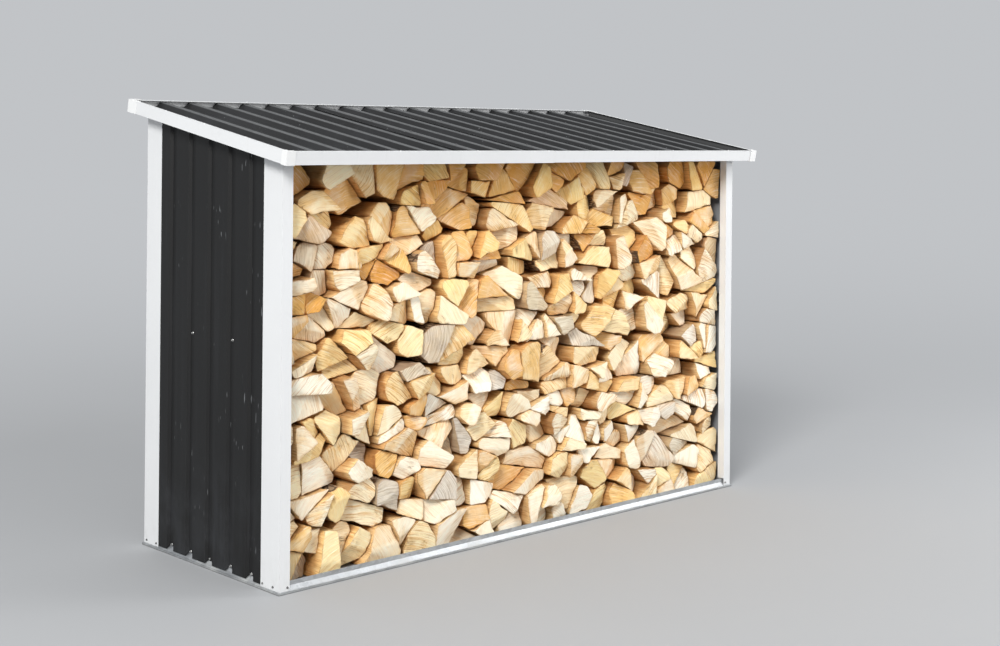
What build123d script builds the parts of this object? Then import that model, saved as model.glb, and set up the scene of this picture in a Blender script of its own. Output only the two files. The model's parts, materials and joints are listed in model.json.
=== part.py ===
from build123d import *
import math
import os
import random

# Log store of folded sheet steel, open at the front and filled with split firewood.
# X runs along the front from left to right, Y from the open front to the back, Z up.
# The origin is on the ground, under the middle of the roof. Millimetres.

# Overall sizes: the roof's length is measured up its slope.
roof_width = 2450
roof_length = 1000
front_height = 1442
roof_rise = 178
side_overhang = 44
front_overhang = 85
back_overhang = 49

# Sheet and fits.
frame_thickness = 0.8
sheet_thickness = 0.7
cap_thickness = 1.2
seat_gap = 0.3

# Ribbed sheets of the roof and walls. Sheets lap at ribs given as shares of the width.
roof_rib_pitch = 120.2
roof_rib_height = 16
roof_rib_crest = 22
roof_rib_foot = 54
wall_rib_pitch = 123.5
wall_rib_height = 9
wall_rib_crest = 26
wall_rib_foot = 44
plain_edge = 130
lap_setback = 2
roof_lap_lift = 5
roof_lap_spread = 4
roof_clearance = 4
wall_lift = 5
long_side_laps = (1 / 3, 1 / 2, 2 / 3, 5 / 6)
short_side_laps = (0.5,)

# Base rail.
rail_lip_height = 7
rail_bevel = 1
rail_ledge_height = 8.5
rail_shoulder_rise = 13.5
rail_height = 37.5
rail_foot_width = 18
rail_groove_start = 3
rail_groove_width = 2
rail_groove_depth = 1.6
rail_groove_bevel = 0.6
mitre_gap = 0.4

# Corner posts.
post_setback = 5.5
post_side_width = 106
post_front_width = 41
post_return = 33
back_post_side_width = 96
back_post_width = 100

# Rails inside the walls and round the top.
brace_height = 790
brace_depth = 40
top_rail_depth = 34
inner_flange = 26

# Roof edge trims and their corner caps.
trim_height = 44
trim_top_flange = 15
trim_bottom_flange = 12
trim_overlap = 18
cap_front_leg = 36
cap_front_side_leg = 28
cap_back_leg = 45
cap_back_side_leg = 60
cap_corner_radius = 1

# Firewood: one row of split logs, laid with their ends to the front.
log_length = 500
log_gap = 0.3
stack_front_gap = 1
stack_rise = 4
cell_width = 232
cell_height = 140
seed_spread = 0.34
cell_flatness = 2.3
split_flatness = 0.55
split_turn = 0.6
split_shift = 0.22
largest_shares = (0.28, 0.36, 0.46, 0.60)
bark_reach = 0.92
bark_loss = 0.26
broken_share = 0.3
broken_depths = (0.10, 0.34)
shortest_edge = 8
front_spread = 60
stray_spread = 40
flush_width = 130
end_tilt = 0.13
largest_tilt = 0.34
courses = 7
stack_seed = 8

back_height = front_height + roof_rise
slope = math.asin(roof_rise / roof_length)
cap_inset = cap_thickness + seat_gap
trim_skirt = trim_height + 2 * cap_inset
roof_front = -(roof_length * math.cos(slope) + trim_skirt * math.sin(slope)) / 2
base_width = roof_width - 2 * side_overhang
base_depth = roof_length * math.cos(slope) - front_overhang - back_overhang
base_left = -base_width / 2
base_right = base_width / 2
base_front = roof_front + front_overhang
base_back = base_front + base_depth

lap = sheet_thickness + seat_gap
wall_skin = post_setback + frame_thickness + seat_gap
rail_upstand = wall_skin + wall_rib_height + sheet_thickness + seat_gap
rail_shoulder = rail_ledge_height + rail_shoulder_rise
shoulder_grade = rail_shoulder_rise / (rail_upstand - wall_skin)
rail_end = rail_upstand + frame_thickness + seat_gap
trim_tuck = frame_thickness + seat_gap
roof_pan = -(cap_inset + 2 * trim_tuck + roof_clearance + roof_rib_height + lap)
roof_ribs = (roof_rib_height, roof_rib_crest, roof_rib_foot)
wall_ribs = (wall_rib_height, wall_rib_crest, wall_rib_foot)
roof_seat = roof_pan - sheet_thickness - seat_gap
head_bottom = front_height - trim_skirt * math.cos(slope) + seat_gap

ground = Plane.XY
roof = Plane(
    origin=(0, roof_front, front_height),
    x_dir=(1, 0, 0),
    z_dir=(0, -math.sin(slope), math.cos(slope)),
)

parts = {}


def add(name, *solids):
    """Keep solids as one named node of the model."""
    found = [solid for item in solids for solid in item.solids()]
    parts[name] = Compound(label=name, children=found)


def mirrored(solid):
    return mirror(solid, about=Plane.YZ)


def across(frame, start, inward):
    """Plane across a straight run on a frame: its x points inward, its y off the frame."""
    x_dir = frame.x_dir * inward[0] + frame.y_dir * inward[1]
    origin = frame.origin + frame.x_dir * start[0] + frame.y_dir * start[1] + frame.z_dir * start[2]
    return Plane(origin=origin, x_dir=x_dir, z_dir=x_dir.cross(frame.z_dir))


def folded(skin, thickness, plane, length):
    """A sheet folded along skin on plane, with its thickness left of the run, run on by length."""
    inner = []
    for i, (x, y) in enumerate(skin):
        normals = []
        for a, b in ((i - 1, i), (i, i + 1)):
            if a >= 0 and b < len(skin):
                dx, dy = skin[b][0] - skin[a][0], skin[b][1] - skin[a][1]
                normals.append((-dy / math.hypot(dx, dy), dx / math.hypot(dx, dy)))
        n, m = normals[0], normals[-1]
        scale = thickness / (1 + n[0] * m[0] + n[1] * m[1])
        inner.append((x + (n[0] + m[0]) * scale, y + (n[1] + m[1]) * scale))
    section = make_face(Polyline(*skin, *reversed(inner), close=True))
    return extrude(plane * section, amount=length, dir=plane.z_dir)


def below_roof(solid):
    """The part of a solid that is under the roof sheets."""
    origin = roof.origin + roof.z_dir * roof_seat
    return split(solid, bisect_by=Plane(origin=origin, z_dir=roof.z_dir), keep=Keep.BOTTOM)


def up_slope(level, depth):
    """Distance up the roof to a point behind its front edge and at a depth under it."""
    return (level - depth * math.sin(slope)) / math.cos(slope)


def seat_height(y):
    """Height of what carries the roof sheets, at a depth."""
    return front_height + (y - roof_front) * math.tan(slope) + roof_seat / math.cos(slope)


# Base frame: four grooved rails, mitred at the corners.

def rail_skin():
    lip_top = rail_lip_height + rail_bevel
    groove_end = rail_groove_start + rail_groove_width
    groove_floor = lip_top - rail_groove_depth
    return [
        (rail_foot_width, 0),
        (0, 0),
        (0, rail_lip_height),
        (rail_bevel, lip_top),
        (rail_groove_start, lip_top),
        (rail_groove_start + rail_groove_bevel, groove_floor),
        (groove_end - rail_groove_bevel, groove_floor),
        (groove_end, rail_ledge_height),
        (wall_skin, rail_ledge_height),
        (rail_upstand, rail_shoulder),
        (rail_upstand, rail_height),
    ]


def base_rail(start, inward, length):
    plane = across(ground, start, inward)
    rail = folded(rail_skin(), -frame_thickness, plane, length)
    for end, run in ((0, plane.z_dir), (length, -plane.z_dir)):
        origin = plane.origin + plane.z_dir * end + run * (mitre_gap / 2)
        mitre = Plane(origin=origin, z_dir=run - plane.x_dir)
        rail = split(rail, bisect_by=mitre, keep=Keep.TOP)
    return rail


def build_base():
    add("base_rail_front", base_rail((base_left, base_front, 0), (0, 1), base_width))
    add("base_rail_right", base_rail((base_right, base_front, 0), (-1, 0), base_depth))
    add("base_rail_back", base_rail((base_right, base_back, 0), (0, -1), base_width))
    add("base_rail_left", base_rail((base_left, base_back, 0), (1, 0), base_depth))


# Corner posts: folded angles that stand on the rail's ledge, outside the wall sheets.

def post(skin):
    plane = Plane(origin=(base_left, base_front, rail_ledge_height + seat_gap))
    return below_roof(folded(skin, frame_thickness, plane, back_height))


def front_post():
    """Side, front and a flange turned back into the opening, which ends above the rail."""
    inner = post_setback + post_front_width
    skin = [
        (post_setback, post_setback + post_side_width),
        (post_setback, post_setback),
        (inner, post_setback),
        (inner, post_setback + post_return),
    ]
    flange_foot = Box(
        frame_thickness + seat_gap,
        post_return,
        rail_height + seat_gap,
        align=(Align.MAX, Align.MIN, Align.MIN),
    )
    return post(skin) - Pos(base_left + inner, base_front + wall_skin, 0) * flange_foot


def back_post():
    rear = base_depth - post_setback
    skin = [
        (post_setback + back_post_width, rear),
        (post_setback, rear),
        (post_setback, rear - back_post_side_width),
    ]
    return post(skin)


def build_posts():
    for name, angle in (("front", front_post()), ("back", back_post())):
        add(f"corner_post_{name}_left", angle)
        add(f"corner_post_{name}_right", mirrored(angle))


# Ribbed sheets of the roof and walls.

def rib_line(centre, size, offset=0):
    """Four corners of a rib, moved off its own skin by offset."""
    height, crest_width, foot_width = size
    run = (foot_width - crest_width) / 2
    shift = offset * math.hypot(run, height) / height
    foot = foot_width / 2 + shift
    crest = crest_width / 2 + shift - offset * run / height
    return [
        (centre - foot, 0),
        (centre - crest, height + offset),
        (centre + crest, height + offset),
        (centre + foot, 0),
    ]


def roof_rib(centre, laps_left, laps_right):
    """A rib of a roof sheet: the sheet on the right rides loosely over its neighbour's last rib."""
    line = rib_line(centre, roof_ribs, lap if laps_left else 0)
    if laps_left:
        (foot_x, _), (crest_x, crest_y) = line[:2]
        share = roof_lap_lift / crest_y
        line[0] = (foot_x + (crest_x - foot_x) * share - roof_lap_spread, roof_lap_lift)
    if laps_right:
        line[2:] = [(centre + roof_rib_crest / 2 - lap_setback, roof_rib_height)]
    return line


def wall_rib(centre, laps_left, laps_right):
    """An inward rib of a wall sheet: each sheet's last rib lies outside the next one's first."""
    line = rib_line(centre, wall_ribs, -lap if laps_right else 0)
    if laps_left:
        line[:2] = [(centre - wall_rib_crest / 2 + lap_setback, wall_rib_height)]
    if laps_right:
        line[2:] = [(centre + wall_rib_crest / 2 - lap_setback, wall_rib_height - lap)]
    return line


def sheet_skins(width, laps, rib, pitch):
    """Skins of the sheets that cover a width, ribs spaced evenly about its middle."""
    last = int((width - 2 * plain_edge) // pitch)
    bounds = [0, *[round(share * last) for share in laps], last]
    skins = []
    for first, end in zip(bounds, bounds[1:]):
        skin = [] if first else [(-width / 2, 0)]
        for i in range(first, end + 1):
            centre = (i - last / 2) * pitch
            skin += rib(centre, i == first and first > 0, i == end and end < last)
        if end == last:
            skin.append((width / 2, 0))
        skins.append(skin)
    return skins


def wall_sheets(plane, width, laps):
    """Sheets of a wall, each cut along the rail's shoulder, so its ribs end higher than its flats."""
    cut = Plane(origin=plane.origin + plane.z_dir * wall_lift, z_dir=plane.z_dir - plane.y_dir * shoulder_grade)
    return [
        split(below_roof(folded(skin, sheet_thickness, plane, back_height)), bisect_by=cut, keep=Keep.TOP)
        for skin in sheet_skins(width, laps, wall_rib, wall_rib_pitch)
    ]


def build_walls():
    side_middle = (base_left + wall_skin, base_front + base_depth / 2, rail_ledge_height)
    side_plane = Plane(origin=side_middle, x_dir=(0, -1, 0), z_dir=(0, 0, 1))
    left = wall_sheets(side_plane, base_depth - 2 * rail_end, short_side_laps)
    add("side_wall_left", *left)
    add("side_wall_right", *[mirrored(sheet) for sheet in left])
    back_middle = (0, base_back - wall_skin, rail_ledge_height)
    back_plane = Plane(origin=back_middle, x_dir=(-1, 0, 0), z_dir=(0, 0, 1))
    for i, sheet in enumerate(wall_sheets(back_plane, base_width - 2 * rail_end, long_side_laps)):
        add(f"back_wall_sheet_{i + 1}", sheet)


def build_roof():
    width = roof_width - 2 * (cap_inset + trim_tuck)
    end_inset = cap_inset + 2 * trim_tuck
    length = roof_length - 2 * end_inset
    plane = across(roof, (0, roof_length - end_inset, roof_pan), (1, 0))
    for i, skin in enumerate(sheet_skins(width, long_side_laps, roof_rib, roof_rib_pitch)):
        add(f"roof_sheet_{i + 1}", folded(skin, -sheet_thickness, plane, length))


# Rails inside the walls: braces at mid-height and a rail under each roof edge.

def build_braces():
    skin = [
        (rail_upstand + inner_flange, brace_height),
        (rail_upstand, brace_height),
        (rail_upstand, brace_height + brace_depth),
        (rail_upstand + inner_flange, brace_height + brace_depth),
    ]
    clear = rail_end + inner_flange
    side_plane = across(ground, (base_left, base_back - clear, 0), (1, 0))
    side = folded(skin, -frame_thickness, side_plane, base_depth - 2 * clear)
    add("side_brace_left", side)
    add("side_brace_right", mirrored(side))
    back_plane = across(ground, (base_right - rail_end, base_back, 0), (0, -1))
    add("back_brace", folded(skin, -frame_thickness, back_plane, base_width - 2 * rail_end))


def build_top_rails():
    inner = base_left + rail_upstand
    side_skin = [
        (inner, roof_seat - top_rail_depth),
        (inner, roof_seat),
        (inner + inner_flange, roof_seat),
    ]
    start = up_slope(front_overhang + wall_skin, -roof_seat)
    behind = front_overhang + base_depth - rail_end - inner_flange
    end = up_slope(behind, top_rail_depth - roof_seat)
    side = folded(side_skin, -frame_thickness, across(roof, (0, end, 0), (1, 0)), end - start)
    add("top_rail_left", side)
    add("top_rail_right", mirrored(side))

    flange_rise = inner_flange * math.tan(slope)
    back_top = seat_height(base_back - rail_upstand)
    back_skin = [
        (rail_upstand, back_top - top_rail_depth),
        (rail_upstand, back_top),
        (rail_upstand + inner_flange, back_top - flange_rise),
    ]
    back_plane = across(ground, (base_right - rail_end, base_back, 0), (0, -1))
    add("top_rail_back", folded(back_skin, -frame_thickness, back_plane, base_width - 2 * rail_end))

    head_top = seat_height(base_front + wall_skin)
    head_skin = [
        (wall_skin + inner_flange, head_bottom),
        (wall_skin, head_bottom),
        (wall_skin, head_top),
        (wall_skin + inner_flange, head_top + flange_rise),
    ]
    jamb = post_setback + post_front_width + seat_gap
    head_plane = across(ground, (base_left + jamb, base_front, 0), (0, 1))
    add("top_rail_front", folded(head_skin, -frame_thickness, head_plane, base_width - 2 * jamb))


# Roof edge: channels that wrap the edges of the sheets, with moulded caps on the corners.

def trim_skin(tuck=0):
    """Section of an edge trim, x inward from the roof's edge, or tucked inside another."""
    outer = cap_inset + tuck
    foot = tuck - cap_inset - trim_height
    return [
        (outer + trim_bottom_flange, foot),
        (outer, foot),
        (outer, -outer),
        (outer + trim_top_flange, -outer),
    ]


def build_trims():
    half = roof_width / 2
    side_start = cap_inset + 2 * trim_tuck
    side_plane = across(roof, (-half, roof_length - side_start, 0), (1, 0))
    side = folded(trim_skin(), -frame_thickness, side_plane, roof_length - 2 * side_start)
    add("roof_trim_left", side)
    add("roof_trim_right", mirrored(side))

    reach = half - cap_inset - trim_top_flange - seat_gap
    for name, edge, inward in (("front", 0, 1), ("back", roof_length, -1)):
        start = -reach * inward
        plane = across(roof, (start, edge, 0), (0, inward))
        full = folded(trim_skin(), -frame_thickness, plane, reach)
        plane = across(roof, (-trim_overlap * inward, edge, 0), (0, inward))
        tucked = folded(trim_skin(trim_tuck), -frame_thickness, plane, reach + trim_overlap)
        left, right = (full, tucked) if inward > 0 else (tucked, full)
        add(f"roof_trim_{name}_left", left)
        add(f"roof_trim_{name}_right", right)


def corner_cap(leg, side_leg):
    """Moulded shell round the left end of an edge, its corner at the origin."""
    low_corner = (Align.MIN, Align.MIN, Align.MAX)
    cap = Box(leg, side_leg, trim_skirt, align=low_corner)
    cap = fillet(cap.edges().filter_by(Axis.Z).sort_by(lambda e: e.center().X + e.center().Y)[0], cap_corner_radius)
    height = trim_skirt - 2 * cap_thickness
    cap -= Pos(cap_thickness, cap_thickness, -cap_thickness) * Box(leg, side_leg, height, align=low_corner)
    flange = cap_inset + trim_top_flange
    return cap - Pos(flange, flange, 0) * Box(leg, side_leg, trim_skirt, align=low_corner)


def build_caps():
    half = roof_width / 2
    front = roof.location * Pos(-half, 0, 0) * corner_cap(cap_front_leg, cap_front_side_leg)
    flipped = mirror(corner_cap(cap_back_leg, cap_back_side_leg), about=Plane.XZ)
    back = roof.location * Pos(-half, roof_length, 0) * flipped
    for name, cap in (("front", front), ("back", back)):
        add(f"corner_cap_{name}_left", cap)
        add(f"corner_cap_{name}_right", mirrored(cap))


# Firewood: rounds are laid out in cells, split along chords and pressed together.

def clipped(outline, point, normal):
    """The part of a convex outline that lies behind a line through point."""
    sides = [(x - point[0]) * normal[0] + (z - point[1]) * normal[1] for x, z in outline]
    kept = []
    for i, (x, z) in enumerate(outline):
        j = (i + 1) % len(outline)
        if sides[i] <= 0:
            kept.append((x, z))
        if sides[i] * sides[j] < 0:
            share = sides[i] / (sides[i] - sides[j])
            kept.append((x + (outline[j][0] - x) * share, z + (outline[j][1] - z) * share))
    return kept


def area(outline):
    pairs = zip(outline, outline[1:] + outline[:1])
    return sum(a[0] * b[1] - b[0] * a[1] for a, b in pairs) / 2


def middle(outline):
    """Centre of an outline's area."""
    x = z = 0
    for a, b in zip(outline, outline[1:] + outline[:1]):
        share = (a[0] * b[1] - b[0] * a[1]) / (6 * area(outline))
        x += (a[0] + b[0]) * share
        z += (a[1] + b[1]) * share
    return (x, z)


def halved(outline, draw):
    """Both parts of a split across the outline's longest reach, which favours flat logs."""
    x, z = middle(outline)
    far = max(outline, key=lambda p: math.hypot(split_flatness * (p[0] - x), p[1] - z))
    angle = math.atan2(far[1] - z, far[0] - x) + draw.uniform(-split_turn, split_turn)
    shift = draw.uniform(-split_shift, split_shift) * math.dist(far, (x, z))
    normal = (math.cos(angle), math.sin(angle))
    point = (x + normal[0] * shift, z + normal[1] * shift)
    return [clipped(outline, point, normal), clipped(outline, point, (-normal[0], -normal[1]))]


def inset(outline, gap):
    """A convex outline drawn in by gap on every side."""
    result = outline
    for a, b in zip(outline, outline[1:] + outline[:1]):
        dx, dz = b[0] - a[0], b[1] - a[1]
        length = math.hypot(dx, dz)
        normal = (dz / length, -dx / length)
        result = clipped(result, (a[0] - normal[0] * gap, a[1] - normal[1] * gap), normal)
    return result


def barked(outline):
    """A split log keeps the round's curve on the side that faces its heart."""
    n = len(outline)

    def openness(i):
        a, b, c = outline[i - 1], outline[i], outline[(i + 1) % n]
        turn = math.atan2(c[1] - b[1], c[0] - b[0]) - math.atan2(a[1] - b[1], a[0] - b[0])
        return abs((turn + math.pi) % (2 * math.pi) - math.pi)

    heart = outline[min(range(n), key=openness)]
    radius = bark_reach * max(math.dist(heart, p) for p in outline)
    centre = middle(outline)
    facing = math.atan2(centre[1] - heart[1], centre[0] - heart[0])
    result = outline
    for turn in (-0.6, -0.36, -0.12, 0.12, 0.36, 0.6):
        normal = (math.cos(facing + turn), math.sin(facing + turn))
        result = clipped(result, (heart[0] + radius * normal[0], heart[1] + radius * normal[1]), normal)
    return result


def broken(outline, draw):
    """A split log whose thinnest corners have broken off, which opens small voids in the stack."""
    x, z = middle(outline)
    result = outline
    for corner in outline:
        if draw.random() < broken_share:
            reach = math.dist(corner, (x, z))
            kept = 1 - draw.uniform(*broken_depths)
            point = (x + (corner[0] - x) * kept, z + (corner[1] - z) * kept)
            result = clipped(result, point, ((corner[0] - x) / reach, (corner[1] - z) / reach))
    return result


def without_short_edges(outline):
    kept = []
    for point in outline:
        if not kept or math.dist(point, kept[-1]) > shortest_edge:
            kept.append(point)
    while len(kept) > 3 and math.dist(kept[0], kept[-1]) <= shortest_edge:
        kept.pop()
    return kept


def stack_cells(left, right, top, draw):
    """Cells of a jittered brick pattern: each is nearest to its own seed."""
    columns = round((right - left) / cell_width)
    rows = round(top / cell_height)
    step_x, step_z = (right - left) / columns, top / rows
    seeds = []
    for row in range(rows):
        for column in range(columns + row % 2):
            x = left + (column + 0.5 - 0.5 * (row % 2)) * step_x
            z = (row + 0.5) * step_z
            shift_x, shift_z = draw.uniform(-seed_spread, seed_spread), draw.uniform(-seed_spread, seed_spread)
            seeds.append((x + shift_x * step_x, z + shift_z * step_z))
    cells = []
    for seed in seeds:
        cell = [(left, 0), (right, 0), (right, top), (left, top)]
        for other in seeds:
            if other != seed and math.dist(seed, other) < 3 * step_x:
                halfway = ((seed[0] + other[0]) / 2, (seed[1] + other[1]) / 2)
                normal = (other[0] - seed[0], cell_flatness * (other[1] - seed[1]))
                cell = clipped(cell, halfway, normal)
        if len(cell) > 2:
            cells.append(cell)
    return cells


def log_outlines(left, right, top, draw):
    """Outlines of the split logs, seen from the front."""
    outlines = []
    for cell in stack_cells(left, right, top, draw):
        pieces = [cell]
        largest = draw.choice(largest_shares) * cell_width * cell_height
        while area(pieces[-1]) > largest:
            pieces += halved(pieces.pop(), draw)
            pieces.sort(key=area)
        for piece in pieces:
            piece = inset(piece, log_gap / 2)
            rounded = barked(piece)
            if draw.random() < 0.75 and area(rounded) > (1 - bark_loss) * area(piece):
                piece = rounded
            outlines.append(without_short_edges(broken(piece, draw)))
    return outlines


def sawn(outline, y, draw):
    """A sawn end, out of square, with its nearest corner at y."""
    tilts = [max(-largest_tilt, min(largest_tilt, draw.gauss(0, end_tilt))) for _ in "xz"]
    lean = [x * tilts[0] + z * tilts[1] for x, z in outline]
    return [(x, y + slant - min(lean), z) for (x, z), slant in zip(outline, lean)]


def log(outline, front, draw):
    """A split log lying along Y."""
    near = sawn(outline, front, draw)
    far = sawn(outline, front + log_length + draw.uniform(-8, 8), draw)
    count = len(outline)
    walls = [[near[i], near[(i + 1) % count], far[(i + 1) % count], far[i]] for i in range(count)]
    faces = [Face(Wire.make_polygon(loop)) for loop in [near, far, *walls]]
    return Solid(Shell(faces))


def build_firewood():
    draw = random.Random(stack_seed)
    left = base_left + rail_upstand + inner_flange + log_gap
    front = base_front + post_setback + post_return + stack_front_gap
    top = head_bottom + stack_rise
    rows = [[] for _ in range(courses)]
    for outline in log_outlines(left, -left, top, draw):
        depth = front_spread * draw.random() ** 1.5
        if draw.random() < 0.2:
            depth += draw.uniform(0, stray_spread)
        if max(x for x, z in outline) > -left - flush_width:
            depth *= 0.2
        course = min(int(middle(outline)[1] / top * courses), courses - 1)
        rows[course].append(log(outline, front + depth, draw))
    for i, logs in enumerate(rows):
        add(f"firewood_course_{i + 1}", *logs)


build_base()
build_posts()
build_walls()
build_roof()
build_braces()
build_top_rails()
build_trims()
build_caps()
build_firewood()

os.makedirs("parts", exist_ok=True)
for name, node in parts.items():
    export_step(node, f"parts/{name}.step")
print(len(parts), "nodes,", sum(len(node.solids()) for node in parts.values()), "solids")
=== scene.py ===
# %% [markdown]
# # A log store of folded sheet steel, filled with split firewood
#
# The CAD model gives every rail, post, sheet, trim and cap its true shape and place. This script
# dresses that model: it gives each surface a finish, puts screws where the sheets are fixed, and
# swaps the plain CAD logs for logs with torn edges, sawn ends and bark. One unit is one metre.
# X runs along the open front, Y runs to the back wall and Z points up.

# %% Load the CAD frame
import json
import math
import random

import bmesh
import bpy
import numpy as np
from mathutils import Matrix, Vector, noise


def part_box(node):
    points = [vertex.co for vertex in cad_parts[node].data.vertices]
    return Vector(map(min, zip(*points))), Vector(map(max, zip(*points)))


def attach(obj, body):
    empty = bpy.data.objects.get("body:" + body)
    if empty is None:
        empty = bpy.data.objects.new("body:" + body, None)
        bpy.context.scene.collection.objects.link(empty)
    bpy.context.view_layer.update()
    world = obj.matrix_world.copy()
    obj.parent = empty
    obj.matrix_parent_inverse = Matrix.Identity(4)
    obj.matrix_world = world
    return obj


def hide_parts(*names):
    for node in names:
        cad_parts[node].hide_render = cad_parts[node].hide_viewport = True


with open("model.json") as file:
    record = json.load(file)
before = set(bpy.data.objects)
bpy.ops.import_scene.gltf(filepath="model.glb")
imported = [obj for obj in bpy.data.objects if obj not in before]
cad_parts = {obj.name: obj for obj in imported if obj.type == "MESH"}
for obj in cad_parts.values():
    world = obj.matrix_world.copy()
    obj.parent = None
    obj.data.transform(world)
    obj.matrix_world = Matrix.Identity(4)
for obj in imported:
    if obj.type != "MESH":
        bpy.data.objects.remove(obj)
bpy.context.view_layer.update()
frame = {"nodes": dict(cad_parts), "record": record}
nodes = frame["nodes"]
scene = bpy.context.scene

# %% [markdown]
# ## Writing shader maths as Python
#
# A material is a graph of nodes. Placing each Math node by hand makes long, unreadable scripts, so
# a Wire stands for one output socket, and adding or multiplying two wires adds the Math node that
# does it. Colours and vectors never go through Math, which would turn them grey: they have Mix and
# Vector Math. Every other node comes from one method, which sets a node's settings before its
# sockets, because some settings change which sockets there are.

# %% A wire and a graph
class Wire:
    """One output socket, with Python's operators for values."""

    def __init__(self, graph, socket):
        self.graph, self.socket = graph, socket

    def math(self, operation, *values):
        return self.graph.node("ShaderNodeMath", {"operation": operation}, dict(enumerate(values)))

    def __add__(self, other):
        return self.math("ADD", self, other)

    def __sub__(self, other):
        return self.math("SUBTRACT", self, other)

    def __rsub__(self, other):
        return self.math("SUBTRACT", other, self)

    def __mul__(self, other):
        return self.math("MULTIPLY", self, other)

    def __rtruediv__(self, other):
        return self.math("DIVIDE", other, self)

    __radd__ = __add__
    __rmul__ = __mul__

    def __abs__(self):
        return self.math("ABSOLUTE", self)

    def larger(self, other):
        return self.math("MAXIMUM", self, other)

    def wave(self):
        """The sine of a value, moved between 0 and 1."""
        return self.math("SINE", self) * 0.5 + 0.5

    def over(self, low, high):
        """0 below low, 1 above high and a soft step between. Swapped limits turn it round."""
        settings = {"interpolation_type": "SMOOTHSTEP"}
        flip = low > high
        limits = {"Value": self, "From Min": min(low, high), "From Max": max(low, high)}
        limits |= {"To Min": float(flip), "To Max": float(not flip)}
        return self.graph.node("ShaderNodeMapRange", settings, limits)


class Graph:
    """A node tree that is written as expressions."""

    def __init__(self, tree):
        self.tree = tree

    def node(self, kind, settings=None, inputs=None, out=0):
        made = self.tree.nodes.new(kind)
        for key, value in (settings or {}).items():
            setattr(made, key, value)
        for key, value in (inputs or {}).items():
            for item in value if isinstance(value, list) else [value]:
                if isinstance(item, Wire):
                    self.tree.links.new(item.socket, made.inputs[key])
                else:
                    made.inputs[key].default_value = item
        return Wire(self, made.outputs[out])


# %% A material as a graph
class Finish(Graph):
    """A material whose surface is one Principled shader."""

    def __init__(self, name):
        self.material = bpy.data.materials.new(name)
        self.material.use_nodes = True
        super().__init__(self.material.node_tree)
        self.tree.nodes.clear()
        self.place = self.node("ShaderNodeTexCoord", out="Object")

    def scaled(self, vector, scale):
        return self.node("ShaderNodeVectorMath", {"operation": "MULTIPLY"}, {0: vector, 1: scale})

    def moved(self, vector, shift):
        return self.node("ShaderNodeVectorMath", {"operation": "ADD"}, {0: vector, 1: shift})

    def axis(self, vector, name):
        return self.node("ShaderNodeSeparateXYZ", {}, {0: vector}, out=name)

    def along(self, vector, direction):
        """How far a vector reaches in a direction: their dot product."""
        inputs = {0: vector, 1: direction}
        return self.node("ShaderNodeVectorMath", {"operation": "DOT_PRODUCT"}, inputs, out="Value")

    def length(self, vector):
        return self.node("ShaderNodeVectorMath", {"operation": "LENGTH"}, {0: vector}, out="Value")

    def true_normal(self):
        return self.node("ShaderNodeNewGeometry", out="True Normal")

    def noise(self, vector, scale, detail=2.0, rough=0.5, out=0):
        inputs = {"Vector": vector, "Scale": scale, "Detail": detail, "Roughness": rough}
        return self.node("ShaderNodeTexNoise", {}, inputs, out=out)

    def cells(self, vector, scale, feature="F1", out=0):
        inputs = {"Vector": vector, "Scale": scale}
        return self.node("ShaderNodeTexVoronoi", {"feature": feature}, inputs, out=out)

    def attribute(self, name, out="Fac"):
        return self.node("ShaderNodeAttribute", {"attribute_name": name}, out=out)

    def facts(self):
        """Tone, gold, grey and coarseness of the log that a point belongs to; tone and gold carry
        painted top shade.
        """
        colour = self.attribute("log_facts", out="Color")
        parts = [self.node("ShaderNodeSeparateColor", {}, {0: colour}, out=i) for i in range(3)]
        return (*parts, self.attribute("log_facts", out="Alpha"))

    def mix(self, share, first, second, blend="MIX"):
        inputs = {0: share}
        for key, colour in ((6, first), (7, second)):
            inputs[key] = colour if isinstance(colour, Wire) else (*colour, 1)
        return self.node("ShaderNodeMix", {"data_type": "RGBA", "blend_type": blend}, inputs, out=2)

    def layered(self, colour, layers):
        """Colours laid over a first one in turn, each as thick as its share."""
        for share, layer in layers:
            colour = self.mix(share, colour, layer)
        return colour

    def shaded(self, colour, amount):
        """A colour made lighter or darker by a value: 1 leaves it as it is."""
        grey = self.node("ShaderNodeCombineColor", {}, {0: amount, 1: amount, 2: amount})
        return self.mix(1.0, colour, grey, "MULTIPLY")

    def bump(self, height, distance):
        return self.node("ShaderNodeBump", {}, {"Height": height, "Distance": distance})

    def surface(self, **inputs):
        """Join the shader to the output. Names are sockets with _ for a space."""
        named = {key.replace("_", " "): value for key, value in inputs.items()}
        shader = self.node("ShaderNodeBsdfPrincipled", {}, named)
        self.node_output(shader)
        return self.material

    def node_output(self, shader):
        output = self.tree.nodes.new("ShaderNodeOutputMaterial")
        self.tree.links.new(shader.socket, output.inputs["Surface"])


print("Shader helpers are ready")

# %% [markdown]
# ## Where the roof lies
#
# Several finishes and screws depend on the roof's slope, so its plane is written down once: the
# points where its top edges begin and end, the way up its slope and the way straight off it.

# %% The plane of the roof
FRONT_TOP = Vector((0, -0.4962, 1.442))
BACK_TOP = Vector((0, 0.4878, 1.620))
ROOF_LENGTH = (BACK_TOP - FRONT_TOP).length
UP_ROOF = (BACK_TOP - FRONT_TOP).normalized()
OFF_ROOF = Vector((0, -UP_ROOF.z, UP_ROOF.y))
print("The roof rises", round(math.degrees(math.asin(UP_ROOF.z)), 1), "degrees")
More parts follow.
